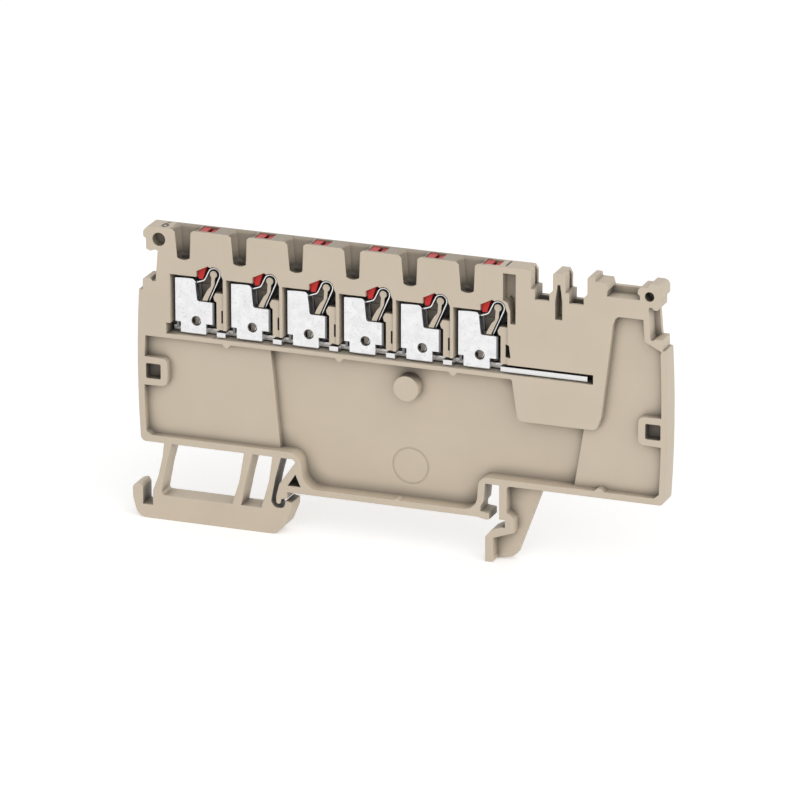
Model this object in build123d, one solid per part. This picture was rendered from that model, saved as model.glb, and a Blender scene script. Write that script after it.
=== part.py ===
from build123d import *
from math import cos, radians, sin, tan
import os

os.makedirs("parts", exist_ok=True)

# Distribution terminal block, 3.5 mm wide, for a 35 mm top-hat rail. Millimetres.
# X runs along the block, Y through its thickness and Z up. The open side faces -Y.
# The origin is at the middle of the rail, on its flanges, half way through the thickness.
# "Depth" below is the distance behind the open side's face.

# Rail
RAIL_WIDTH = 35.0
RAIL_SHEET = 1.0
RAIL_PLAY = 0.25          # rail edge to claw, and jaw to the flange's underside

# Moulding, through its thickness
THICK = 3.5
WEB = 0.9                 # webs of the open pockets
CELL_BACK = 0.6           # wall behind the clamp cells
SIDE_WEB_DEPTH = 1.4      # the webs at the two ends stand half way through
PUSH_SKIN = 0.52          # wall in front of the pushers and the bridge channels
WALL = 0.95               # end walls
FLOOR_WALL = 1.0          # walls along the underside

# Clamp cells
CELLS = 6
PITCH = 9.17
CELL_WALL = 0.51
FIRST_CELL = -36.71       # left wall of the first cell

# Heights
SIDE_FLOOR = 5.45         # underside of the two ends
RIB_Z = 22.55             # underside of the rib that carries the cells
RIB = 0.75
CELL_HEIGHT = 9.58
ENTRY_BRIDGE = 2.42       # solid between a cell and the wire entry above it
ENTRY_HEIGHT = 4.8
ENTRY_AXIS = 1.55         # depth of the funnels' axes

# Body
LEFT_MARGIN = 5.46        # end wall to first cell
HEAD_LENGTH = 24.82       # last cell to the other end
SIDE_BULGE = 0.35
PIN_Z = 16.9              # height of the square pins
PIN_HOLE = 2.42
PIN_PLAY = 0.06
PIN_LENGTH = 1.3
EYE_RADIUS = 1.05         # round pin hole in the left lug
SMALL_EYE_RADIUS = 0.74   # round pin hole in the right lug

# Metal
BAR = 0.8                 # current bar's height
SHEET = 0.5               # contact frame's sheet
SHEET_FRONT = 0.4         # depth of its front plate
ARM_PLAY = 0.48           # cell's top to the frame's tall arm
ARM_DROP = 4.0            # cell's top to the frame's low arm
SHOULDER = 2.05           # cell floor to the shoulders of the front plate
STRIP = 0.2               # clamping spring's strip
STRIP_WIDTH = 1.2
LOOP_RADIUS = 1.05        # outside of its loop
METAL_GAP = 0.1           # metal to moulding and metal to metal

# Pusher
PUSH_TRAVEL = 1.4
PUSH_WIDTH = 2.5
PUSH_GAP = 0.08
PUSH_SLOT = 0.5
HEEL_HEIGHT = 1.2         # cell top to the top of the pusher's heel
PUSH_U = 4.56             # its left side, from the cell's left wall
LOOP_REACH = 2.28         # its left side to the centre of the spring's loop

# What follows from these
FRONT_Y = -THICK / 2
CELL_Z = RIB_Z + RIB
CELL_TOP = CELL_Z + CELL_HEIGHT
ENTRY_Z = CELL_TOP + ENTRY_BRIDGE
TOP_Z = ENTRY_Z + ENTRY_HEIGHT
CELL_DEPTH = THICK - CELL_BACK
CELL_WIDTH = PITCH - CELL_WALL
HEAD = FIRST_CELL + CELLS * PITCH
LEFT = FIRST_CELL - LEFT_MARGIN
RIGHT = HEAD + HEAD_LENGTH
STEP_Z = TOP_Z - 10.2     # where the end walls step in
RAIL_L = -RAIL_WIDTH / 2
RAIL_R = RAIL_WIDTH / 2
JAW_Z = -RAIL_SHEET - RAIL_PLAY
FOOT_Z = JAW_Z - 5.75     # lowest line of both feet
FRAME_HEIGHT = CELL_HEIGHT - ARM_PLAY
LOW_HEIGHT = CELL_HEIGHT - ARM_DROP
BAR_Z = CELL_Z + METAL_GAP
BAR_TOP = BAR_Z + BAR
BACK_SHEET = CELL_DEPTH - METAL_GAP - SHEET
STRIP_DEPTH = SHEET_FRONT + SHEET + METAL_GAP
LOOP_U = PUSH_U + LOOP_REACH
LOOP_Z = CELL_TOP + 0.35
HEEL_TOP = CELL_TOP + HEEL_HEIGHT
SHAFT_DEPTH = CELL_DEPTH + 0.12
PUSH_FOOT = CELL_TOP - 0.43
SHAFT_FLOOR = PUSH_FOOT - PUSH_TRAVEL - PUSH_GAP


def outline(*corners):
    """Face in X-Z, clockwise corners (x, z, radius, bulge of the side that follows)."""
    pts = [tuple(c) + (0.0,) * (4 - len(c)) for c in corners]
    ends = []
    for i, (x, z, r, _) in enumerate(pts):
        before, after = pts[i - 1], pts[(i + 1) % len(pts)]
        here = Vector(x, z)
        back = Vector(before[0], before[1]) - here
        on = Vector(after[0], after[1]) - here
        half = radians(back.get_angle(on)) / 2
        if r <= 0 or half > radians(89):
            ends.append((here, None, here))
            continue
        run = min(r / tan(half), 0.45 * back.length, 0.45 * on.length)
        bisector = (back.normalized() + on.normalized()).normalized()
        radius = run * tan(half)
        middle = here + bisector * (radius / sin(half) - radius)
        ends.append((here + back.normalized() * run, middle, here + on.normalized() * run))
    edges = []
    for i, (start, middle, end) in enumerate(ends):
        if middle is not None:
            edges.append(ThreePointArc(start, middle, end))
        follow = ends[(i + 1) % len(ends)][0]
        side = follow - end
        bulge = pts[i][3]
        if side.length < 1e-6:
            continue
        if bulge:
            out = Vector(-side.Y, side.X).normalized() * bulge
            edges.append(ThreePointArc(end, end + side / 2 + out, follow))
        else:
            edges.append(Line(end, follow))
    return make_face(Plane.XZ * (Curve() + edges))


def disc(x, z, radius):
    return Plane.XZ * Pos(x, z) * Circle(radius)


def box(x0, z0, x1, z1, r=0.0):
    return outline((x0, z0, r), (x0, z1, r), (x1, z1, r), (x1, z0, r))


def slab(face, near, far):
    """Solid between two depths behind the open side."""
    return Pos(0, FRONT_Y + far, 0) * extrude(face, far - near, dir=(0, -1, 0))


def cell_x(i):
    return FIRST_CELL + i * PITCH


# Housing


def body_outline():
    """Outer profile of the moulding above the rail, with the fixed claw."""
    left, right = LEFT + SIDE_BULGE, RIGHT - SIDE_BULGE
    claw = RAIL_L - RAIL_PLAY
    post = RAIL_R - 3.2
    return outline(
        (left, SIDE_FLOOR, 0.9, SIDE_BULGE),
        (left, STEP_Z),
        (left + 0.62, STEP_Z),
        (left + 0.62, TOP_Z - 8.25, 0.5),
        (LEFT + 2.2, TOP_Z - 8.25),
        (LEFT + 2.55, TOP_Z - 8.7),
        (LEFT + 3.1, TOP_Z - 8.7),
        (LEFT + 3.5, TOP_Z - 3.75),
        (LEFT + 3.05, TOP_Z - 3.6),
        (LEFT + 2.3, TOP_Z - 3.9),
        (LEFT + 1.6, TOP_Z - 3.6),
        (LEFT + 1.6, TOP_Z - 1.95),
        (LEFT + 1.15, TOP_Z - 1.65),
        (LEFT + 1.15, TOP_Z - 0.75, 0.4),
        (LEFT + 1.85, TOP_Z, 0.3),
        (HEAD + 13.24, TOP_Z),
        (HEAD + 13.34, TOP_Z - 0.65),
        (RIGHT - 3.4, TOP_Z - 0.72),
        (RIGHT - 2.95, TOP_Z - 0.05),
        (RIGHT - 1.0, TOP_Z - 0.05, 1.0),
        (RIGHT - 0.95, TOP_Z - 2.1, 0.6),
        (RIGHT - 1.42, TOP_Z - 2.35),
        (RIGHT - 1.42, TOP_Z - 3.75),
        (RIGHT - 1.75, TOP_Z - 4.1),
        (RIGHT - 2.3, TOP_Z - 4.1),
        (RIGHT - 2.63, TOP_Z - 3.75),
        (RIGHT - 3.08, TOP_Z - 3.75),
        (RIGHT - 3.14, TOP_Z - 4.15),
        (RIGHT - 2.85, TOP_Z - 8.5),
        (RIGHT - 2.7, TOP_Z - 8.85),
        (RIGHT - 2.35, TOP_Z - 8.85),
        (RIGHT - 2.1, TOP_Z - 8.6),
        (RIGHT - 0.92, TOP_Z - 8.6),
        (RIGHT - 0.88, STEP_Z - 0.1),
        (right, STEP_Z - 0.1, 0.2, SIDE_BULGE),
        (right, SIDE_FLOOR, 0.8),
        (post + 0.03, SIDE_FLOOR),
        (post - 0.2, 2.5),
        (post - 0.7, 1.75),
        (post - 0.7, 0.95),
        (post + 0.7, 0.8),
        (post + 0.75, -0.2),
        (post + 0.2, -0.3),
        (post - 1.3, 0.0),
        (claw, 0.0),
        (claw, JAW_Z + 0.2),
        (claw - 0.95, JAW_Z + 0.05),
        (claw - 1.1, JAW_Z - 0.65),
        (claw - 1.5, JAW_Z - 0.8),
        (claw - 1.78, JAW_Z - 0.6),
        (claw - 1.8, JAW_Z + 0.35, 0.8),
        (claw - 1.3, 1.15, 1.0),
        (claw + 1.35, 5.0),
        (claw + 0.9, SIDE_FLOOR),
    )


def pocket_outline():
    """Open pocket below the cells and round the head."""
    left, right = LEFT + SIDE_BULGE + WALL, RIGHT - SIDE_BULGE - WALL + 0.1
    floor = SIDE_FLOOR + FLOOR_WALL
    claw = RAIL_L - RAIL_PLAY
    post = RAIL_R - 3.2
    return outline(
        (left, floor + 0.65, 0.0, SIDE_BULGE - 0.1),
        (left, RIB_Z),
        (HEAD + 0.2, RIB_Z, 0.4),
        (HEAD + 0.9, RIB_Z - 4.8),
        (HEAD + 1.2, RIB_Z - 6.5, 0.9),
        (HEAD + 13.7, RIB_Z - 6.5, 1.1),
        (HEAD + 14.4, RIB_Z - 4.3),
        (HEAD + 16.15, TOP_Z - 7.1, 0.3),
        (HEAD + 16.6, TOP_Z - 5.75, 1.0),
        (RIGHT - 3.93, TOP_Z - 5.75),
        (RIGHT - 3.7, TOP_Z - 9.15),
        (RIGHT - 1.05, TOP_Z - 10.45),
        (right, STEP_Z - 0.8, 0.0, SIDE_BULGE - 0.1),
        (right, floor + 0.65),
        (right - 0.75, floor),
        (post - 1.0, floor, 1.6),
        (post - 1.35, FLOOR_WALL, 2.2),
        (claw + 2.75, FLOOR_WALL, 2.4),
        (claw + 2.1, floor + 0.1, 2.0),
        (left + 0.8, floor + 0.1),
    )


def middle_band():
    """Stretch of the pocket that is sunk to the deeper web."""
    return outline(
        (RAIL_L - 1.15, SIDE_FLOOR - 6, 0), (RAIL_L - 3.5, RIB_Z + 1, 0),
        (RAIL_R + 13.3, RIB_Z + 1, 0), (RAIL_R + 9.5, SIDE_FLOOR - 6, 0))


def back_pockets():
    """Shallow pockets behind the two end webs, so these keep one wall thickness."""
    near = SIDE_WEB_DEPTH + WEB
    band = offset(middle_band(), amount=WEB)
    face = offset(pocket_outline(), amount=-0.05) - band
    head = box(HEAD - 1, RIB_Z - 7.5, HEAD + 15, TOP_Z)
    return slab(face - head, near, THICK + 1)


def pin_boss(x, facing):
    """Round-nosed boss of a square pin, growing out of the end wall."""
    reach = 4.8 * facing
    return outline(
        *sorted_corners((x - reach * 0.36, PIN_Z - 2.3, 0), (x - reach * 0.36, PIN_Z + 2.3, 0),
                        (x + 2.3 * facing, PIN_Z + 2.2, 0.9), (x + 2.35 * facing, PIN_Z, 3.0),
                        (x + 2.3 * facing, PIN_Z - 2.2, 0.9), facing=facing))


def sorted_corners(*corners, facing):
    return corners if facing > 0 else corners[::-1]


def square_pins():
    """Bosses, sockets in front and pins behind, at both ends."""
    add, cut = [], []
    for x, facing in ((LEFT + 2.55, 1), (RIGHT - 2.25, -1)):
        add.append(slab(pin_boss(x, facing), 0, THICK))
        h = PIN_HOLE / 2
        cut.append(slab(box(x - h, PIN_Z - h, x + h, PIN_Z + h, 0.25), -1, PIN_LENGTH + 0.5))
        p = h - PIN_PLAY
        pin = slab(box(x - p, PIN_Z - p, x + p, PIN_Z + p), THICK - 0.2, THICK + PIN_LENGTH)
        add.append(chamfer(pin.edges().filter_by(Axis.Y) + pin.faces().sort_by(Axis.Y)[-1].edges(), 0.2))
    return add, cut


def eyes():
    """Round sockets in the two top lugs and the pins behind them."""
    add, cut = [], []
    for x, z, r in ((LEFT + 3.71, TOP_Z - 1.91, EYE_RADIUS), (RIGHT - 3.02, TOP_Z - 2.07, SMALL_EYE_RADIUS)):
        cut.append(slab(disc(x, z, r), -1, PIN_LENGTH + 0.7))
        pin = slab(disc(x, z, r - PIN_PLAY), THICK - 0.2, THICK + PIN_LENGTH)
        add.append(chamfer(pin.faces().sort_by(Axis.Y)[-1].edges(), 0.2))
    return add, cut


def foot_outline():
    """Sprung foot: driver slot at its left end, three thin legs, nose under the rail."""
    x = RAIL_L
    top = SIDE_FLOOR + 0.4
    return outline(
        (x - 20.45, top), (x - 19.15, top), (x - 13.3, top), (x - 2.65, top), (x - 1.15, top),
        (x - 2.2, 2.0, 2.0),
        (x - 2.9, JAW_Z - 0.5, 0.5),
        (x - 2.3, JAW_Z - 1.45, 0.8),
        (x - 0.75, JAW_Z - 1.4, 0.9),
        (x - 0.5, JAW_Z - 0.15),
        (x + 0.5, JAW_Z - 0.35),
        (x + 0.5, JAW_Z - 1.4, 1.5),
        (x - 0.6, FOOT_Z + 1.6, 1.5),
        (x - 2.2, FOOT_Z, 1.7),
        (x - 24.9, FOOT_Z, 1.9),
        (x - 25.75, FOOT_Z + 3.2, 2.0),
        (x - 25.75, JAW_Z - 0.6, 0.7),
        (x - 24.5, JAW_Z - 0.2, 0.4),
        (x - 24.1, JAW_Z - 0.9),
        (x - 24.1, JAW_Z - 3.6),
        (x - 22.45, JAW_Z - 3.6),
        (x - 22.4, JAW_Z - 1.2),
        (x - 21.5, 0.0, 3.0),
        (x - 20.75, 3.2, 3.0),
    )


def foot_windows():
    """Spaces between the legs of the sprung foot."""
    x = RAIL_L
    low = JAW_Z - 1.77
    wide = outline((x - 21.1, low, 0.45), (x - 20.25, 1.5, 6.0), (x - 19.2, SIDE_FLOOR),
                   (x - 7.3, SIDE_FLOOR), (x - 8.1, 0.8, 6.0), (x - 9.3, low))
    narrow = outline((x - 7.85, low), (x - 6.9, 1.5, 6.0), (x - 5.9, SIDE_FLOOR),
                     (x - 2.65, SIDE_FLOOR), (x - 3.2, 1.5, 6.0), (x - 4.5, low))
    return [wide, narrow]


def right_foot():
    """Fixed foot: post with the rail groove, braced by a thin web."""
    x = RAIL_R
    top = SIDE_FLOOR + 0.4
    post = outline(
        (x - 0.9, top), (x + 1.6, top),
        (x + 1.35, SIDE_FLOOR), (x + 0.3, SIDE_FLOOR - 0.05, 0.8),
        (x + 0.3, 1.2), (x + 1.5, 0.35, 0.4), (x + 1.5, JAW_Z - 0.65),
        (x - 1.8, JAW_Z - 1.85), (x - 1.82, FOOT_Z + 1.0), (x - 1.55, FOOT_Z + 0.55),
        (x - 1.95, FOOT_Z, 0.3), (x - 3.1, FOOT_Z), (x - 3.1, JAW_Z - 1.75),
        (x - 2.3, JAW_Z - 0.8), (x - 1.6, JAW_Z - 0.4), (x - 0.6, JAW_Z),
        (x + 0.05, JAW_Z), (x + 0.05, 0.0), (x - 0.9, 0.0))
    web = outline((x - 0.8, top), (x + 5.6, top), (x + 1.35, FOOT_Z + 1.15, 0.6),
                  (x + 0.7, FOOT_Z + 0.6, 0.4), (x - 2.0, FOOT_Z + 0.05), (x - 2.9, JAW_Z - 1.9),
                  (x + 0.1, JAW_Z - 0.2))
    return [slab(post, 0, THICK), slab(web, THICK - 1.5, THICK)]


def nub(x, z, half, drop):
    """Small triangular latch nub on a rib."""
    up = 0.3 if drop > 0 else -0.3
    corners = ((x - half, z + up), (x + half, z + up), (x + half, z),
               (x + half * 0.3, z - drop), (x - half * 0.3, z - drop), (x - half, z))
    return slab(outline(*(corners if drop > 0 else corners[::-1])), 0, SIDE_WEB_DEPTH)


def cell_cut(i):
    """Cell of one clamp with the dome over its spring, the pusher's shaft and the wire's bore."""
    u = cell_x(i)
    top = CELL_TOP
    heel_u = u + PUSH_U - 0.25
    room = outline((u, CELL_Z), (u, top), (heel_u, top), (heel_u, top + 0.92),
                   (u + LOOP_U - 0.64, top + 1.86), (u + LOOP_U + 1.47, top + 0.8),
                   (u + CELL_WIDTH, top), (u + CELL_WIDTH, CELL_Z))
    dome = disc(u + LOOP_U + 0.37, LOOP_Z + 0.37, LOOP_RADIUS + 0.07)
    shaft = box(u + PUSH_U - PUSH_GAP, top - 0.5, u + PUSH_U + PUSH_WIDTH + PUSH_GAP, TOP_Z + 1)
    heel = box(u + PUSH_U - 0.46, SHAFT_FLOOR, u + PUSH_U + 1.3, HEEL_TOP + PUSH_GAP)
    bore_depth = THICK / 2 + 0.1
    bore = Pos(u + 2.3, FRONT_Y + bore_depth, top - 0.5) * Cylinder(
        0.95, ENTRY_BRIDGE + 1, align=(Align.CENTER, Align.CENTER, Align.MIN))
    return [slab(room, -1, CELL_DEPTH), slab(dome, -1, CELL_DEPTH),
            slab(shaft, PUSH_SKIN, SHAFT_DEPTH), slab(heel, PUSH_SKIN, SHAFT_DEPTH), bore]


def entry_cut(i):
    """Wire entry: a leaning funnel that the open side cuts through, with a flat back."""
    u = cell_x(i)
    deep, rim = ENTRY_HEIGHT - 0.35, ENTRY_HEIGHT + 0.35
    profile = [(0, 0), (1.47, 0), (1.85, 0.38), (2.0, deep), (2.61, rim), (0, rim)]
    funnel = revolve(make_face(Plane.XZ * Polyline(profile, close=True)), Axis.Z)
    hole = Pos(u + 2.27, FRONT_Y + ENTRY_AXIS, ENTRY_Z) * Rot(0, -1.4, 0) * funnel
    back = [(-1, ENTRY_Z - 1), (2.9, ENTRY_Z - 1), (2.9, TOP_Z - 0.35), (3.4, TOP_Z + 1), (-1, TOP_Z + 1)]
    side = make_face(Plane.YZ * Polyline([(FRONT_Y + d, z) for d, z in back], close=True))
    return hole & Pos(u - 1, 0, 0) * extrude(side, 7)


def bar_slot():
    """Long slot of the current bar, through every cell wall and on into the head."""
    left, right = FIRST_CELL - 0.69, HEAD + 13.09
    run = box(cell_x(0) + 7.0, CELL_Z - 0.05, right, BAR_TOP + 0.55)
    end = box(left, CELL_Z - 0.05, FIRST_CELL + 1, BAR_TOP + 0.8)
    return [slab(run, -1, CELL_DEPTH), slab(end, -1, CELL_DEPTH)]


def cell_ribs(i):
    """Mandrel inside the spring's loop and the stop block beside the contact frame."""
    low = CELL_Z + LOW_HEIGHT
    loop, right = cell_x(i) + LOOP_U, cell_x(i) + CELL_WIDTH
    bulb = disc(loop + 0.03, LOOP_Z + 0.08, LOOP_RADIUS - STRIP - 0.27)
    stem = outline((loop - 1.86, low + 0.12), (loop - 1.54, low + 0.85), (loop - 0.98, low + 1.87),
                   (loop - 0.42, low + 2.5), (loop - 0.29, LOOP_Z), (loop + 0.31, LOOP_Z),
                   (loop + 0.16, low + 2.8), (loop - 1.04, low + 0.12))
    block = outline((loop + 0.66, BAR_TOP + 0.55), (loop + 0.66, low + 0.22), (loop + 0.31, low + 0.4, 0.3),
                    (loop + 0.16, low + 1.0, 0.3), (loop + 0.51, low + 1.67), (right + 0.2, low + 1.67),
                    (right + 0.2, BAR_TOP + 0.55))
    slit = box(right - 0.38, low - 3.03, right, low - 1.03)
    mandrel = slab(bulb, 0.7, SHAFT_DEPTH + 0.1) + slab(stem, 0.7, SHAFT_DEPTH + 0.1)
    return [mandrel, slab(block, 0.25, CELL_DEPTH + 0.1) - slab(slit, 0, 2.4)]


def head_cuts():
    """Bridge slots with their channels down to the current bar, dart slot and stepped pocket."""
    cuts = []
    for x in (HEAD + 3.19, HEAD + 8.62):
        slot = outline((x + 0.6, TOP_Z - 4.55), (x + 0.6, TOP_Z - 2.98), (x, TOP_Z - 2.95),
                       (x, TOP_Z - 0.25), (x - 0.25, TOP_Z), (x - 0.25, TOP_Z + 1),
                       (x + 3.7, TOP_Z + 1), (x + 3.7, TOP_Z), (x + 3.45, TOP_Z - 0.25),
                       (x + 3.45, TOP_Z - 2.85), (x + 2.88, TOP_Z - 3.4),
                       (x + 2.88, TOP_Z - 4.55))
        groove = box(x - 0.35, TOP_Z - 2.95, x + 1, TOP_Z + 1)
        corner = outline((x - 0.5, TOP_Z + 0.1), (x + 1, TOP_Z + 0.1), (x + 1, TOP_Z - 0.75), (x, TOP_Z - 0.75))
        channel = box(x + 0.6, BAR_TOP + 0.3, x + 2.88, TOP_Z - 4.5)
        cuts += [slab(slot, -1, THICK + 1), slab(groove, 1.8, CELL_DEPTH), slab(corner, 2.0, THICK + 1),
                 slab(channel, PUSH_SKIN, THICK - WEB)]
    x = HEAD + 7.02
    dart = outline((x, TOP_Z - 7.3), (x, TOP_Z - 4.4, 1.0), (x + 0.36, TOP_Z - 1.85),
                   (x + 0.76, TOP_Z - 1.85), (x + 1.12, TOP_Z - 4.4, 1.0), (x + 1.12, TOP_Z - 7.3))
    cuts.append(slab(dart, -1, 2.5))
    x = HEAD - 1.26
    pocket = outline((x, TOP_Z - 5.25), (x, TOP_Z - 1.0), (x + 2.02, TOP_Z - 1.0),
                     (x + 2.02, TOP_Z - 8.85), (x + 1.2, TOP_Z - 8.85), (x + 1.15, TOP_Z - 6.9, 0.6),
                     (x + 0.75, TOP_Z - 5.55, 0.6))
    deep = outline((x + 0.35, TOP_Z - 5.3), (x + 0.7, TOP_Z - 4.9), (x + 2.02, TOP_Z - 5.9),
                   (x + 2.02, TOP_Z - 8.85), (x + 1.2, TOP_Z - 8.85), (x + 1.15, TOP_Z - 6.9, 0.6),
                   (x + 0.75, TOP_Z - 5.55, 0.6))
    cuts += [slab(pocket, -1, 1.9), slab(deep, -1, 2.5)]

    # Relief beside the last cell's stop block
    x, z = HEAD - CELL_WALL, CELL_Z + LOW_HEIGHT
    relief = outline((x - 0.38, z - 3.03), (x - 0.38, z - 1.03), (x + 0.25, z - 1.03), (x + 0.5, z - 3.03))
    cuts.append(slab(relief, -1, 2.4))
    return cuts


def marker_channels():
    """Snap channels for a marker, along the top and down the right end, with their back lips."""
    x = RIGHT
    top = outline((x - 9.68, TOP_Z - 2.75), (x - 9.68, TOP_Z - 2.05), (x - 9.45, TOP_Z - 1.75),
                  (x - 9.75, TOP_Z - 0.72), (x - 9.75, TOP_Z + 1), (x - 4.5, TOP_Z + 1),
                  (x - 4.45, TOP_Z - 0.72), (x - 4.8, TOP_Z - 1.1), (x - 4.92, TOP_Z - 1.75),
                  (x - 4.53, TOP_Z - 2.1), (x - 4.53, TOP_Z - 2.75))
    depth = THICK - 0.85
    lip_top = box(x - 10.0, TOP_Z - 3.2, x - 4.3, TOP_Z - 1.7)
    lip_side = outline((x - 3.4, TOP_Z - 8.9), (x - 3.4, TOP_Z - 3.6), (x - 2.33, TOP_Z - 3.6),
                       (x - 1.87, TOP_Z - 8.9))
    return slab(top, -1, THICK + 1), [slab(lip_top, depth, THICK), slab(lip_side, depth, THICK)]


def web_details():
    """Peg on the middle web and latch nubs on the ribs."""
    add = [slab(disc(1.4, RIB_Z - 3.7, 2.0), 0.4, THICK - WEB / 2)]
    add += [nub(cell_x(i + 1) - 0.03, RIB_Z, 0.7, 0.55) for i in (0, 2, 4)]
    add.append(nub(0.1, FLOOR_WALL, 0.5, -0.22))
    add.append(nub(HEAD + 14.2, SIDE_FLOOR + FLOOR_WALL, 0.8, -0.5))
    return add


def claw_window():
    """Triangular blind hole in the fixed claw."""
    x = RAIL_L
    face = outline((x - 0.15, 1.1), (x + 1.1, 3.05), (x + 1.95, 1.1))
    return slab(face, -1, THICK - WEB)


def housing():
    pocket = pocket_outline()
    body = slab(body_outline(), 0, THICK)
    body -= [slab(pocket, -1, SIDE_WEB_DEPTH), slab(pocket & middle_band(), -1, THICK - WEB)]
    body -= back_pockets()
    body += slab(foot_outline(), 0, THICK)
    body -= [slab(window, -1, THICK + 1) for window in foot_windows()]
    channel, lips = marker_channels()
    body = body - channel + lips + right_foot() + web_details()
    body -= slab(disc(1.4, 5.85, 2.95) - disc(1.4, 5.85, 2.75), 0, THICK - WEB + 0.08)

    cuts = bar_slot()
    for i in range(CELLS):
        cuts += cell_cut(i)
    body -= cuts
    body -= [entry_cut(i) for i in range(CELLS)]
    ribs = []
    for i in range(CELLS):
        ribs += cell_ribs(i)
    body += ribs
    body -= head_cuts() + [claw_window()]

    for add, cut in (square_pins(), eyes()):
        body = body + add - cut
    return body


# Metal


def current_bar():
    """Flat bar on edge of the cells, notched in front where it passes each cell."""
    front, notch, back = 0.55, 2.05, CELL_DEPTH - METAL_GAP
    left, right = FIRST_CELL - 0.22, HEAD + 12.0
    bar = slab(box(left, BAR_Z, right, BAR_TOP), front, back)
    for i in range(CELLS):
        start = left - 1 if i == 0 else cell_x(i) - CELL_WALL + 0.14
        bar -= slab(box(start, BAR_Z - 1, cell_x(i) + LOOP_U + 0.54, BAR_TOP + 1), front - 1, notch)
        seat = box(cell_x(i) + 1.9, BAR_Z, cell_x(i) + 5.4, BAR_TOP)
        bar += slab(seat, SHEET_FRONT + SHEET + 0.02, back)
    return bar


def contact_frame(i):
    """Bent sheet frame: front plate, right wall, rear plate and left wall, seated on the bar."""
    u = cell_x(i)
    low, top = CELL_Z + LOW_HEIGHT, CELL_Z + FRAME_HEIGHT
    left, right = u + 0.69, u + LOOP_U + 0.27
    tall, notch = u + PUSH_U - 0.66, u + PUSH_U - 0.28
    front = outline((left, CELL_Z + SHOULDER), (left, top - 0.1), (left + 1.7, top),
                    (tall, top, 0.55), (notch, low, 0.35), (right, low),
                    (right, CELL_Z + SHOULDER), (u + 5.71, CELL_Z + SHOULDER),
                    (u + 5.71, CELL_Z + 0.4), (u + 1.56, CELL_Z + 0.4),
                    (u + 1.56, CELL_Z + SHOULDER))
    hole = disc(u + 4.11, CELL_Z + 2.4, 0.79)
    rear = outline((left, BAR_TOP + 0.02), (left, top - 0.1), (tall, top),
                   (notch, low), (right, low), (right, BAR_TOP + 1.2), (u + 5.9, BAR_TOP + 0.02))
    sheet = SHEET_FRONT + SHEET
    frame = slab(front - hole, SHEET_FRONT, sheet)
    frame += slab(box(right - SHEET, CELL_Z + SHOULDER, right, low), SHEET_FRONT, BACK_SHEET + SHEET)
    frame += slab(rear, BACK_SHEET, BACK_SHEET + SHEET)
    frame += slab(box(left, BAR_TOP + 0.02, left + 0.4, top - 0.5), sheet + 0.03, BACK_SHEET + 0.1)
    bends = frame.edges().filter_by(Axis.Z).filter_by(
        lambda e: abs(e.center().X - right) < 0.01 and e.length > LOW_HEIGHT - 2.5)
    return fillet(bends.sort_by(Axis.Y)[0], SHEET * 0.75)


def clamp_spring(i):
    """Strip spring: resting leg, loop round the mandrel and clamping leg with its bent end."""
    u = cell_x(i)
    cx, cz = u + LOOP_U, LOOP_Z
    out, inn = LOOP_RADIUS, LOOP_RADIUS - STRIP
    a_leg, b_leg = radians(154), radians(-23.5)
    rest_z = BAR_TOP + 0.05
    tip_u = u + 1.3

    def rim(r, a):
        return cx + r * cos(a), cz + r * sin(a)

    def drop(r, a, z, sense):
        """Point at height z on the tangent that leaves the loop at angle a."""
        x0, z0 = rim(r, a)
        dx, dz = sin(a) * sense, -cos(a) * sense
        return x0 + dx * (z - z0) / dz, z

    bend_z = LOOP_Z - 1.02
    o_bend, i_bend = drop(out, a_leg, bend_z, -1), drop(inn, a_leg, bend_z - 0.12, -1)
    slope = tan(radians(20))
    o_tip = (tip_u, bend_z - (o_bend[0] - tip_u) * slope)
    i_tip = (tip_u, o_tip[1] - STRIP / cos(radians(20)))
    i_bend = (i_bend[0], i_tip[1] + (i_bend[0] - tip_u) * slope)
    o_rest, i_rest = drop(out, b_leg, rest_z, 1), drop(inn, b_leg, rest_z, 1)
    edges = [
        Line(i_rest, rim(inn, b_leg)),
        ThreePointArc(rim(inn, b_leg), rim(inn, (a_leg + b_leg) / 2), rim(inn, a_leg)),
        Line(rim(inn, a_leg), i_bend), Line(i_bend, i_tip), Line(i_tip, o_tip), Line(o_tip, o_bend),
        Line(o_bend, rim(out, a_leg)),
        ThreePointArc(rim(out, a_leg), rim(out, (a_leg + b_leg) / 2), rim(out, b_leg)),
        Line(rim(out, b_leg), o_rest), Line(o_rest, i_rest),
    ]
    return slab(make_face(Plane.XZ * (Curve() + edges)), STRIP_DEPTH, STRIP_DEPTH + STRIP_WIDTH)


def pusher(i):
    """Pusher: slotted head in the top face, narrow foot with a heel beside the spring."""
    u = cell_x(i) + PUSH_U
    top = TOP_Z - 0.12
    clear = LOOP_Z + LOOP_RADIUS + PUSH_TRAVEL + PUSH_GAP
    profile = outline(
        (u, HEEL_TOP), (u, top), (u + PUSH_WIDTH, top), (u + PUSH_WIDTH, clear),
        (u + 1.7, clear), (u + 1.17, clear - 0.8), (u + 1.12, CELL_TOP + 1.3),
        (u + 0.58, PUSH_FOOT), (u - 0.06, PUSH_FOOT),
        (u - 0.2, CELL_TOP + 0.25), (u - 0.36, CELL_TOP + 0.45), (u - 0.36, HEEL_TOP))
    near, far = PUSH_SKIN + PUSH_GAP, SHAFT_DEPTH - PUSH_GAP
    body = slab(profile, near, far)
    x = u + PUSH_WIDTH * 0.5
    body -= slab(box(x, top - 0.9, x + PUSH_SLOT, top + 1), near - 1, far + 1)
    body -= slab(box(x, top - 0.12, u + PUSH_WIDTH + 1, top + 1), near - 1, far + 1)
    return body


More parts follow.
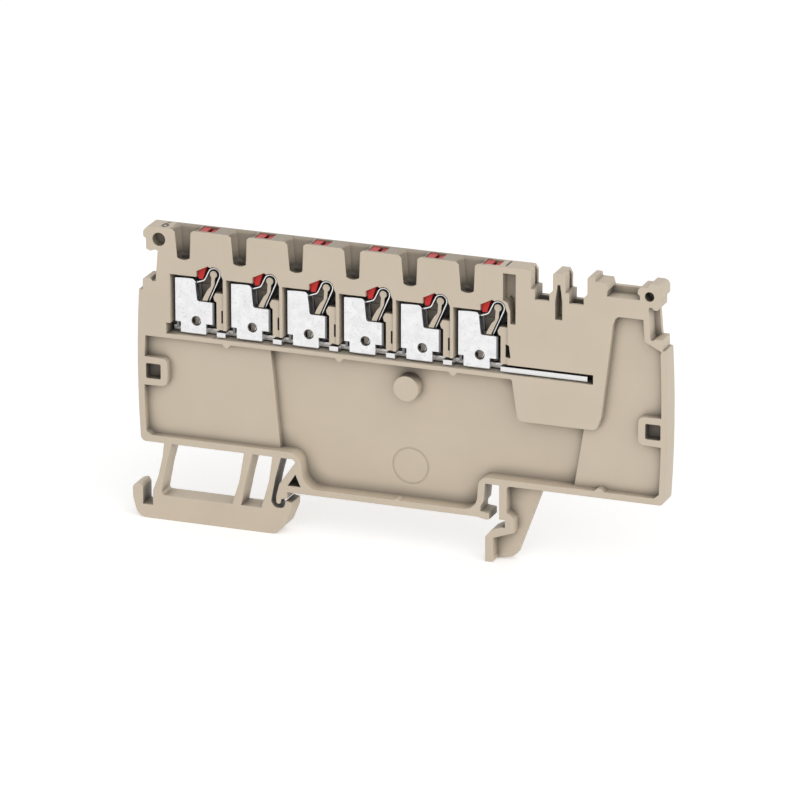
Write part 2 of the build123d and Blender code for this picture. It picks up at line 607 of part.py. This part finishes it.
nodes = {"housing": housing(), "current_bar": current_bar()}
for i in range(CELLS):
    nodes[f"contact_frame_{i + 1}"] = contact_frame(i)
    nodes[f"clamp_spring_{i + 1}"] = clamp_spring(i)
    nodes[f"pusher_{i + 1}"] = pusher(i)

for name, shape in nodes.items():
    solids = shape.solids()
    print(name, len(solids), round(sum(s.volume for s in solids), 3))
    export_step(solids[0] if len(solids) == 1 else Compound(children=list(solids)), f"parts/{name}.step")
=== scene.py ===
from math import cos, radians, sin

import bmesh
import bpy
from mathutils import Matrix, Vector


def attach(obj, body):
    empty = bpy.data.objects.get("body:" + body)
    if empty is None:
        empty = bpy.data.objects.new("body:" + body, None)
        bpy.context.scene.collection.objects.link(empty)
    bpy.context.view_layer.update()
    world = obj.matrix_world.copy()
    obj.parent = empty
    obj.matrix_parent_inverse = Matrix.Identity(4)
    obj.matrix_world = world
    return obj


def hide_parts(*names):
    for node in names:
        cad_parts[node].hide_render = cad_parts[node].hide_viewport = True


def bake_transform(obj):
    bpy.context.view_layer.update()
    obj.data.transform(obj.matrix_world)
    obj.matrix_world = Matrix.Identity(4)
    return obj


# Looks of the distribution terminal block. Sizes are in millimetres, as in the part's source,
# and turned into metres where a mesh, a material, a lamp or the camera is made.
MM = 0.001

# From the part's source. U is the distance along x from the start of a cell.
CELLS, PITCH, FIRST_CELL = 6, 9.17, -36.71
HEAD = FIRST_CELL + CELLS * PITCH
FRONT_Y, TOP_Z, FOOT_Z = -1.75, 40.1, -7.0
CELL_TOP, BAR_TOP = 32.88, 24.2
STRIP, STRIP_WIDTH, STRIP_DEPTH = 0.2, 1.2, 1.0
LOOP_U, LOOP_Z, LOOP_RADIUS = 6.84, CELL_TOP + 0.35, 1.05
CLAMP_ANGLE, REST_ANGLE = radians(154), radians(-23.5)
TIP_U, TIP_SLOPE = 1.3, radians(20)

# Springs: gap over the bar, height of the clamping leg's bend under the loop's centre and its
# rounding, steps along the line, and rounding of the strip's edges
FOOT_GAP, BEND_DROP, BEND_ROUND = 0.05, 1.07, 0.3
LEG_STEPS, LOOP_STEPS, BEND_STEPS, TIP_STEPS = 14, 36, 8, 12
EDGE_ROUND, EDGE_STEPS = 0.03, 3

# Regions of the housing that the photograph shows lighter, darker or softer than plain light
# does, as (low, high, fade) along each axis
# Painted shade and painted light in the housing's colour go on these regions; the creases and the
# round mark also get softer edges.
ENTRY_X, ENTRY_Y = (FIRST_CELL, HEAD - 4, 0.1), (-1.66, 1.6, 0.05)
ENTRY_RIMS = {"X": ENTRY_X, "Y": ENTRY_Y, "Z": (39.3, TOP_Z - 0.03, 2.2)}
ENTRY_FLOORS = {"X": ENTRY_X, "Y": ENTRY_Y, "Z": (35.1, 35.6, 0.6)}
ENTRY_CREASES = {"X": ENTRY_X, "Y": (-0.5, 1.4, 0.6), "Z": (35.2, 38.4, 1.2)}
CELL_BACKS = {"Y": (0.5, 1.6, 0.8), "Z": (22, CELL_TOP + 2, 1)}
CELL_NOOKS = {"U": (6.6, 8.2, 0.1), "X": (FIRST_CELL, HEAD + 0.5, 0.1),
              "Y": (-0.9, 1.8, 0.1), "Z": (28.6, CELL_TOP, 0.3)}
POCKET_Z = (31.2, 39.2, 0.02)
POCKET_FRONT = {"X": (HEAD - 1.3, HEAD + 0.8, 0.02), "Y": (-1.6, 0.3, 0.1), "Z": POCKET_Z}
POCKET_BACK = {"X": (HEAD - 0.9, HEAD + 0.8, 0.02), "Y": (0.3, 1.4, 0.1), "Z": POCKET_Z}
DART_SLOT = {"X": (HEAD + 7, HEAD + 8.2, 0.02), "Y": (-1.6, 1.0, 0.1), "Z": (32.7, 38.3, 0.02)}
LEFT_EYE = {"X": (-40.8, -38.2, 0.02), "Y": (-1.5, 1.8, 0.1), "Z": (36.9, 39.5, 0.02)}
ROUND_MARK = {"X": (-1.8, 4.6, 0.1), "Z": (2.6, 9.1, 0.1)}

# The same for the contact frames: painted shade on what lies behind the front plate over the bar
# and along the bend at its right, and painted light on the ground that shows through its hole
FRAME_FEET = {"Y": (FRONT_Y + 0.92, 2, 0.01), "Z": (23, 25.3, 0.1)}
FRAME_BENDS = {"U": (LOOP_U - 0.04, LOOP_U + 0.4, 0.1)}
HOLE_GROUNDS = {"U": (3.2, 5.2, 0.05), "Y": (0.3, 1.0, 0.02), "Z": (24.6, 26.9, 0.1)}

# Colours (linear): pairs are the ends of a material's clouds or marks. The recess, nook and bend
# colours are painted shade, and the ground's beige is painted light.
BEIGES = (0.575, 0.489, 0.382), (0.597, 0.509, 0.399)
GRAIN_BEIGE, SHADE_BEIGE = (0.48, 0.40, 0.31), (0.10, 0.087, 0.071)
NOOK_SHADOW_BLACK = (0.02, 0.018, 0.015)
SHEET_TINS = (0.745, 0.745, 0.75), (0.83, 0.83, 0.835)
SPECK_GREY, BEND_SHADE_GREY, SHADE_GREY = (0.50, 0.50, 0.52), (0.17, 0.17, 0.17), (0.12, 0.12, 0.12)
LIT_GROUND_BEIGE = (0.85, 0.76, 0.65)
BAR_TINS, BAR_SHADE = ((0.66, 0.655, 0.65), (0.84, 0.835, 0.83)), (0.11, 0.10, 0.095)
STEELS, STEEL_SHADE = ((0.72, 0.73, 0.74), (0.86, 0.865, 0.87)), (0.05, 0.048, 0.045)
REDS, RED_SHADE = ((0.52, 0.027, 0.026), (0.58, 0.036, 0.033)), (0.10, 0.008, 0.008)
INKS = (0.030, 0.027, 0.023), (0.085, 0.075, 0.063)

# Position numbers, with their places along x
NUMBERS = (("6", -37.9), ("1", 17.35))
NUMBER_HEIGHT, NUMBER_Y, NUMBER_SQUEEZE, NUMBER_BOLD = 2.5, 0.05, 0.72, 0.045
CAPITAL = 0.7              # height of a figure as a share of the font's size
INK_LIFT = 0.006

# Camera, solved from the photograph's outlines: its turn and rise, the lens in pixels, the scale
# on the front face, and where the frame's origin falls in the picture
PICTURE = 800
CAMERA_TURN, CAMERA_RISE = radians(20.6), radians(19.0)
LENS_PIXELS, PIXELS_PER_MM = 7000.0, 6.17
ORIGIN_X, ORIGIN_Y = 396.0, 506.3
SENSOR = 36.0

# Studio
FLOOR_HALF, FLOOR_GAP = 3.0, 0.02
FLOOR_TINT, FLOOR_GLOW = (0.94, 0.94, 0.94), 0.32
FILL_LIGHT, BACKGROUND = 0.62, 1.0

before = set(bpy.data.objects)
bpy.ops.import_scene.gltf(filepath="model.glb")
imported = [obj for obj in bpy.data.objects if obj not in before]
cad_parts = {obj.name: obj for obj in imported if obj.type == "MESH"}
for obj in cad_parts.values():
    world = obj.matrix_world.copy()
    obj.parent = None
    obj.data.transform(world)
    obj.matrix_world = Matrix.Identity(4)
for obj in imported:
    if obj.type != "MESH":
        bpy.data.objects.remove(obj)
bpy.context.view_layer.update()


# Materials


class Material:
    """Principled material with short calls for its procedural nodes. Coordinates are in metres."""

    def __init__(self, name, **values):
        self.material = bpy.data.materials.new(name)
        self.material.use_nodes = True
        tree = self.material.node_tree
        self.nodes, self.links = tree.nodes, tree.links
        self.shader = self.nodes["Principled BSDF"]
        for socket, value in values.items():
            self.shader.inputs[socket.replace("_", " ")].default_value = value
        self.place = self.nodes.new("ShaderNodeTexCoord").outputs["Object"]

    def stretched(self, x, y, z):
        """Coordinates in which noise is drawn out along the axes with a small scale."""
        node = self.nodes.new("ShaderNodeMapping")
        node.inputs["Scale"].default_value = (x, y, z)
        self.links.new(self.place, node.inputs["Vector"])
        return node.outputs["Vector"]

    def noise(self, size_mm, detail=2.0, rough=0.5, place=None):
        """Cloudy noise from 0 to 1, with spots of about size_mm."""
        node = self.nodes.new("ShaderNodeTexNoise")
        node.inputs["Scale"].default_value = 1 / (size_mm * MM)
        node.inputs["Detail"].default_value = detail
        node.inputs["Roughness"].default_value = rough
        self.links.new(place or self.place, node.inputs["Vector"])
        return node.outputs["Fac"]

    def openness(self, reach_mm, low, high, alone=False):
        """How freely a spot is seen: 1 on open faces, less in recesses, 0 from low down.

        Alone counts only the piece itself, and else its neighbours shade it too."""
        node = self.nodes.new("ShaderNodeAmbientOcclusion")
        node.samples = 12
        node.only_local = alone
        node.inputs["Distance"].default_value = reach_mm * MM
        return self.ramp(node.outputs["AO"], low, high)

    def ramp(self, value, low=0.0, high=1.0, out_low=0.0, out_high=1.0):
        """Value, mapped from low..high to out_low..out_high and held past the ends."""
        node = self.nodes.new("ShaderNodeMapRange")
        limits = {"From Min": low, "From Max": high, "To Min": out_low, "To Max": out_high}
        for socket, number in limits.items():
            node.inputs[socket].default_value = number
        self.links.new(value, node.inputs["Value"])
        return node.outputs["Result"]

    def math(self, operation, one, two):
        node = self.nodes.new("ShaderNodeMath")
        node.operation = operation
        for socket, value in zip(node.inputs, (one, two)):
            if isinstance(value, float):
                socket.default_value = value
            else:
                self.links.new(value, socket)
        return node.outputs[0]

    def within(self, region):
        """1 where each coordinate lies in the region's limits, 0 past their fades."""
        split = self.nodes.new("ShaderNodeSeparateXYZ")
        self.links.new(self.place, split.inputs[0])
        total = None
        for axis, (low, high, fade) in region.items():
            if axis == "U":
                spot = self.math("SUBTRACT", split.outputs["X"], FIRST_CELL * MM)
                spot = self.math("MODULO", spot, PITCH * MM)
            else:
                spot = split.outputs[axis]
            up = self.ramp(spot, (low - fade) * MM, low * MM)
            down = self.ramp(spot, high * MM, (high + fade) * MM, 1.0, 0.0)
            band = self.math("MULTIPLY", up, down)
            total = band if total is None else self.math("MULTIPLY", total, band)
        return total

    def dim(self, value, region, share):
        """Value, times share in the region."""
        inside = self.ramp(self.within(region), out_low=1.0, out_high=share)
        return self.math("MULTIPLY", value, inside)

    def lift(self, value, region, least):
        """Value, but no less than least in the region."""
        inside = self.ramp(self.within(region), out_high=least)
        return self.math("MAXIMUM", value, inside)

    def mix(self, value, colour_a, colour_b):
        """Colour_a at 0, colour_b at 1. Each is a colour or a socket."""
        node = self.nodes.new("ShaderNodeMix")
        node.data_type = "RGBA"
        self.links.new(value, node.inputs["Factor"])
        for socket, colour in ((node.inputs[6], colour_a), (node.inputs[7], colour_b)):
            if isinstance(colour, tuple):
                socket.default_value = colour + (1.0,)
            else:
                self.links.new(colour, socket)
        return node.outputs[2]

    def colour(self, output):
        self.links.new(output, self.shader.inputs["Base Color"])

    def roughness(self, output):
        self.links.new(output, self.shader.inputs["Roughness"])

    def metallic(self, output):
        self.links.new(output, self.shader.inputs["Metallic"])

    def relief(self, *layers, edge=None):
        """Bump layers (height, depth in mm) over edges that are softened by edge.

        Edge is a radius in mm, or a socket that gives it in metres."""
        normal = None
        if edge:
            bevel = self.nodes.new("ShaderNodeBevel")
            bevel.samples = 4
            if isinstance(edge, float):
                bevel.inputs["Radius"].default_value = edge * MM
            else:
                self.links.new(edge, bevel.inputs["Radius"])
            normal = bevel.outputs["Normal"]
        for height, depth in layers:
            bump = self.nodes.new("ShaderNodeBump")
            bump.inputs["Strength"].default_value = 1.0
            bump.inputs["Distance"].default_value = depth * MM
            self.links.new(height, bump.inputs["Height"])
            if normal:
                self.links.new(normal, bump.inputs["Normal"])
            normal = bump.outputs["Normal"]
        self.links.new(normal, self.shader.inputs["Normal"])


def polyamide():
    """Beige moulded housing: fine spark-eroded grain, faint flow clouds, painted shade in
    recesses, kept lighter in a few pockets.
    """
    m = Material("polyamide_beige", IOR=1.5)
    clouds = m.ramp(m.noise(9.0, 3.0), 0.35, 0.65)
    base = m.mix(clouds, *BEIGES)
    grain = m.noise(0.16, 3.0, 0.6)
    base = m.mix(m.ramp(grain, 0.3, 0.7, out_high=0.08), base, GRAIN_BEIGE)

    # Painted shade: its own walls darken the colour everywhere, and the metal only at the backs of
    # the cells.
    depth = m.openness(3.2, 0.28, 0.82, alone=True)
    by_metal = m.openness(3.0, 0.2, 0.8)
    elsewhere = m.ramp(m.within(CELL_BACKS), out_low=1.0, out_high=0.0)
    depth = m.math("MINIMUM", depth, m.math("MAXIMUM", by_metal, elsewhere))
    # More painted shade on the rims and floors of the wire entries.
    for region, share in ((ENTRY_RIMS, 0.55), (ENTRY_FLOORS, 0.4)):
        depth = m.dim(depth, region, share)
    # The painted shade is kept lighter in the pockets, the dart slot, the left eye and at the
    # round mark.
    for region, least in ((POCKET_FRONT, 0.5), (POCKET_BACK, 0.5), (DART_SLOT, 0.4),
                          (LEFT_EYE, 0.3), (ROUND_MARK, 0.92)):
        depth = m.lift(depth, region, least)
    # Painted shadow: near black in the nook beside each spring's resting leg, the recess colour
    # elsewhere.
    deepest = m.mix(m.within(CELL_NOOKS), SHADE_BEIGE, NOOK_SHADOW_BLACK)
    m.colour(m.mix(depth, deepest, base))

    m.roughness(m.ramp(m.noise(0.5), 0.3, 0.7, 0.46, 0.60))
    soft = m.ramp(m.within(ENTRY_CREASES), out_low=0.1 * MM, out_high=0.8 * MM)
    soft = m.lift(soft, ROUND_MARK, 0.35 * MM)
    m.relief((m.noise(1.6), 0.006), (grain, 0.004), edge=soft)
    return m.material


def tinned_sheet():
    """Matt tin plating with fine dark specks and rolling marks."""
    m = Material("tin_plate", Metallic=1.0)
    clouds = m.ramp(m.noise(1.4, 3.0), 0.35, 0.65)
    base = m.mix(clouds, *SHEET_TINS)
    specks = m.ramp(m.noise(0.36, 2.0, 0.55), 0.57, 0.70, out_high=0.42)
    base = m.mix(specks, base, SPECK_GREY)
    # Painted shade: grey along the bend at the right of each frame's front plate.
    base = m.mix(m.within(FRAME_BENDS), base, BEND_SHADE_GREY)
    # Painted shade in the frame's recesses, darkest behind the front plate over the bar.
    depth = m.dim(m.openness(1.6, 0.2, 0.75), FRAME_FEET, 0.1)
    # Painted light: the ground behind each frame's hole is a beige patch without metal.
    ground = m.within(HOLE_GROUNDS)
    m.colour(m.mix(ground, m.mix(depth, SHADE_GREY, base), LIT_GROUND_BEIGE))
    m.metallic(m.ramp(ground, out_low=1.0, out_high=0.0))
    m.roughness(m.ramp(m.noise(0.7, 3.0), 0.3, 0.7, 0.30, 0.46))
    m.relief((m.noise(0.2, 3.0, 0.6), 0.004), (m.noise(1.4), 0.012), edge=0.06)
    return m.material


def tinned_bar():
    """Drawn bar: the marks run along it."""
    m = Material("tin_bar", Metallic=1.0)
    drawn = m.noise(0.25, place=m.stretched(0.04, 1.0, 1.0))
    base = m.mix(drawn, *BAR_TINS)
    # Painted shade in the bar's recesses.
    m.colour(m.mix(m.openness(1.6, 0.0, 0.35), BAR_SHADE, base))
    m.roughness(m.ramp(drawn, 0.3, 0.7, 0.22, 0.36))
    m.relief((drawn, 0.004), edge=0.08)
    return m.material


def spring_steel():
    """Polished strip with faint rolling lines across its width."""
    m = Material("spring_steel", Metallic=1.0)
    rolled = m.noise(0.12, place=m.stretched(0.15, 1.0, 0.15))
    base = m.mix(rolled, *STEELS)
    # Painted shade where the strip is hemmed in.
    m.colour(m.mix(m.openness(1.2, 0.42, 0.66), STEEL_SHADE, base))
    m.roughness(m.ramp(rolled, 0.3, 0.7, 0.14, 0.26))
    m.relief((rolled, 0.002))
    return m.material


def red_plastic():
    """Smooth red moulding, slightly glossy."""
    m = Material("red_plastic", IOR=1.5, Specular_IOR_Level=0.2)
    base = m.mix(m.noise(1.2), *REDS)
    # Painted shade in the pusher's recesses.
    m.colour(m.mix(m.openness(1.5, 0.15, 0.8), RED_SHADE, base))
    m.roughness(m.ramp(m.noise(0.4), 0.3, 0.7, 0.28, 0.40))
    m.relief((m.noise(0.15), 0.003), edge=0.08)
    return m.material


def printed_ink():
    """Thin printed ink, slightly uneven."""
    m = Material("marking_ink")
    m.colour(m.mix(m.noise(0.15, 3.0), *INKS))
    m.roughness(m.ramp(m.noise(0.2), 0.3, 0.7, 0.5, 0.7))
    m.relief((m.noise(0.1), 0.003))
    return m.material


# Nodes of each kind, and their materials
dress = {"housing": polyamide(), "current_bar": tinned_bar(), "contact_frame": tinned_sheet(),
         "pusher": red_plastic(), "clamp_spring": spring_steel()}
for name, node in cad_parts.items():
    for slot in node.material_slots:
        slot.material = dress[name.rstrip("_123456")]


# Clamping springs


def centre_line():
    """Spring's centre line from the foot of its resting leg to its clamping tip (x, z)."""
    radius = LOOP_RADIUS - STRIP / 2
    middle = Vector((LOOP_U, LOOP_Z))

    def rim(angle):
        return middle + radius * Vector((cos(angle), sin(angle)))

    rest, clamp = rim(REST_ANGLE), rim(CLAMP_ANGLE)
    rest_down = Vector((sin(REST_ANGLE), -cos(REST_ANGLE)))
    clamp_down = Vector((-sin(CLAMP_ANGLE), cos(CLAMP_ANGLE)))
    tip_way = Vector((-cos(TIP_SLOPE), -sin(TIP_SLOPE)))
    foot = rest + rest_down * ((rest.y - BAR_TOP - FOOT_GAP) / -rest_down.y)
    bend = clamp + clamp_down * ((clamp.y - LOOP_Z + BEND_DROP) / -clamp_down.y)
    tip = bend + tip_way * ((bend.x - TIP_U) / cos(TIP_SLOPE))
    sweep = CLAMP_ANGLE - REST_ANGLE

    line = [foot.lerp(rest, k / LEG_STEPS) for k in range(LEG_STEPS)]
    line += [rim(REST_ANGLE + sweep * k / LOOP_STEPS) for k in range(LOOP_STEPS + 1)]
    a, b = bend - clamp_down * BEND_ROUND, bend + tip_way * BEND_ROUND
    for k in range(BEND_STEPS):
        share = k / BEND_STEPS
        line.append(a.lerp(bend, share).lerp(bend.lerp(b, share), share))
    line += [b.lerp(tip, k / TIP_STEPS) for k in range(TIP_STEPS + 1)]
    return line


def section():
    """Strip's cross-section (across its thickness, along its width), with rounded edges."""
    across, wide = STRIP / 2 - EDGE_ROUND, STRIP_WIDTH / 2 - EDGE_ROUND
    corners = []
    for side_x, side_y, start in ((1, 1, 0), (-1, 1, 90), (-1, -1, 180), (1, -1, 270)):
        for step in range(EDGE_STEPS):
            angle = radians(start + 90 * step / (EDGE_STEPS - 1))
            corners.append((side_x * across + EDGE_ROUND * cos(angle),
                            side_y * wide + EDGE_ROUND * sin(angle)))
    return corners


def strip_mesh(name, line, profile, x0, y0):
    """The profile, swept along the line."""
    bm = bmesh.new()
    rings = []
    for k, point in enumerate(line):
        along = (line[min(k + 1, len(line) - 1)] - line[max(k - 1, 0)]).normalized()
        side = Vector((-along.y, along.x))
        ring = []
        for across, wide in profile:
            spot = point + side * across
            ring.append(bm.verts.new(((x0 + spot.x) * MM, (y0 + wide) * MM, spot.y * MM)))
        rings.append(ring)
    n = len(profile)
    for one, two in zip(rings, rings[1:]):
        for k in range(n):
            bm.faces.new((one[k], one[(k + 1) % n], two[(k + 1) % n], two[k]))
    bm.faces.new(rings[0][::-1])
    bm.faces.new(rings[-1])
    bmesh.ops.recalc_face_normals(bm, faces=bm.faces)
    mesh = bpy.data.meshes.new(name)
    bm.to_mesh(mesh)
    bm.free()
    mesh.shade_smooth()
    return mesh


def make_spring(i):
    """Strip with rounded edges in the place of a spring's solid, with a bend in its clamping leg.
    """
    name = f"spring_strip_{i + 1}"
    x0 = FIRST_CELL + i * PITCH
    y0 = FRONT_Y + STRIP_DEPTH + STRIP_WIDTH / 2
    mesh = strip_mesh(name, centre_line(), section(), x0, y0)
    mesh.materials.append(dress["clamp_spring"])
    piece = bpy.data.objects.new(name, mesh)
    bpy.context.scene.collection.objects.link(piece)
    modifier = piece.modifiers.new("flat_faces", "EDGE_SPLIT")
    modifier.split_angle = radians(50)

    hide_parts(f"clamp_spring_{i + 1}")
    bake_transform(piece)


for i in range(CELLS):
    make_spring(i)


# Position numbers, printed on the top face at both ends of the row of clamps


def print_number(text, x, ink):
    curve = bpy.data.curves.new(f"number_{text}", "FONT")
    curve.body = text
    curve.size = NUMBER_HEIGHT * MM / CAPITAL
    curve.align_x = "CENTER"
    curve.offset = NUMBER_BOLD * MM
    curve.materials.append(ink)
    piece = bpy.data.objects.new(f"number_{text}", curve)
    bpy.context.scene.collection.objects.link(piece)
    piece.location = (x * MM, (NUMBER_Y - NUMBER_HEIGHT / 2) * MM, (TOP_Z + INK_LIFT) * MM)
    piece.scale = (NUMBER_SQUEEZE, 1, 1)
    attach(piece, "block")


ink = printed_ink()
for text, x in NUMBERS:
    print_number(text, x, ink)


# Studio


def seen(nodes, links, strength):
    """Strength for camera, glossy and transmission rays, and none for the rest."""
    path = nodes.new("ShaderNodeLightPath")
    total = path.outputs["Is Camera Ray"]
    for ray in ("Is Glossy Ray", "Is Transmission Ray"):
        either = nodes.new("ShaderNodeMath")
        either.operation = "MAXIMUM"
        links.new(total, either.inputs[0])
        links.new(path.outputs[ray], either.inputs[1])
        total = either.outputs[0]
    times = nodes.new("ShaderNodeMath")
    times.operation = "MULTIPLY"
    links.new(total, times.inputs[0])
    times.inputs[1].default_value = strength
    return times.outputs[0]


def lit_white(name, tint, strength):
    """White that glows where it is seen directly, in reflections or through glass."""
    material = bpy.data.materials.new(name)
    material.use_nodes = True
    nodes, links = material.node_tree.nodes, material.node_tree.links
    nodes.clear()
    diffuse = nodes.new("ShaderNodeBsdfDiffuse")
    diffuse.inputs["Color"].default_value = (*tint, 1)
    glow = nodes.new("ShaderNodeEmission")
    links.new(seen(nodes, links, strength), glow.inputs["Strength"])
    add = nodes.new("ShaderNodeAddShader")
    out = nodes.new("ShaderNodeOutputMaterial")
    links.new(diffuse.outputs[0], add.inputs[0])
    links.new(glow.outputs[0], add.inputs[1])
    links.new(add.outputs[0], out.inputs["Surface"])
    return material


def make_floor():
    mesh = bpy.data.meshes.new("floor")
    half, z = FLOOR_HALF, (FOOT_Z - FLOOR_GAP) * MM
    corners = [(-half, -half, z), (half, -half, z), (half, half, z), (-half, half, z)]
    mesh.from_pydata(corners, [], [(0, 1, 2, 3)])
    mesh.materials.append(lit_white("floor_white", FLOOR_TINT, FLOOR_GLOW))
    floor = bpy.data.objects.new("floor", mesh)
    bpy.context.scene.collection.objects.link(floor)


def make_world():
    """Even soft light, with white behind the object."""
    world = bpy.data.worlds.new("studio")
    world.use_nodes = True
    bpy.context.scene.world = world
    nodes, links = world.node_tree.nodes, world.node_tree.links
    nodes.clear()
    mix = nodes.new("ShaderNodeMixShader")
    links.new(seen(nodes, links, 1.0), mix.inputs["Fac"])
    for k, strength in ((1, FILL_LIGHT), (2, BACKGROUND)):
        light = nodes.new("ShaderNodeBackground")
        light.inputs["Color"].default_value = (1, 1, 1, 1)
        light.inputs["Strength"].default_value = strength
        links.new(light.outputs[0], mix.inputs[k])
    out = nodes.new("ShaderNodeOutputWorld")
    links.new(mix.outputs[0], out.inputs["Surface"])


def softbox(name, place, target, size, watts):
    """Round area lamp. Its place, target and size are in metres."""
    data = bpy.data.lights.new(name, "AREA")
    data.shape, data.size, data.energy = "DISK", size, watts
    lamp = bpy.data.objects.new(name, data)
    lamp.location = place
    way = Vector(target) - Vector(place)
    lamp.rotation_euler = way.to_track_quat("-Z", "Y").to_euler()
    bpy.context.scene.collection.objects.link(lamp)


def make_camera():
    turn, rise = CAMERA_TURN, CAMERA_RISE
    distance = LENS_PIXELS * cos(turn) / PIXELS_PER_MM
    right = Vector((cos(turn), sin(turn), 0))
    up = Vector((-sin(turn) * sin(rise), cos(turn) * sin(rise), cos(rise)))
    forward = Vector((-sin(turn) * cos(rise), cos(turn) * cos(rise), -sin(rise)))
    shift_right = (ORIGIN_X - PICTURE / 2) * distance / LENS_PIXELS
    shift_up = -(ORIGIN_Y - PICTURE / 2) * distance / LENS_PIXELS
    origin = Vector((0, FRONT_Y, 0))
    place = origin - right * shift_right - up * shift_up - forward * distance
    data = bpy.data.cameras.new("camera")
    data.sensor_width, data.lens = SENSOR, LENS_PIXELS / PICTURE * SENSOR
    data.clip_start, data.clip_end = 0.01, 20.0
    camera = bpy.data.objects.new("camera", data)
    axes = Matrix((right, up, -forward)).transposed().to_4x4()
    camera.matrix_world = Matrix.Translation(place * MM) @ axes
    bpy.context.scene.collection.objects.link(camera)
    bpy.context.scene.camera = camera


make_floor()
make_world()
softbox("key", place=(0.725, -0.865, 0.43), target=(0, 0, 0.018), size=2.4, watts=15.0)
make_camera()
bpy.context.scene.view_settings.view_transform = "Standard"
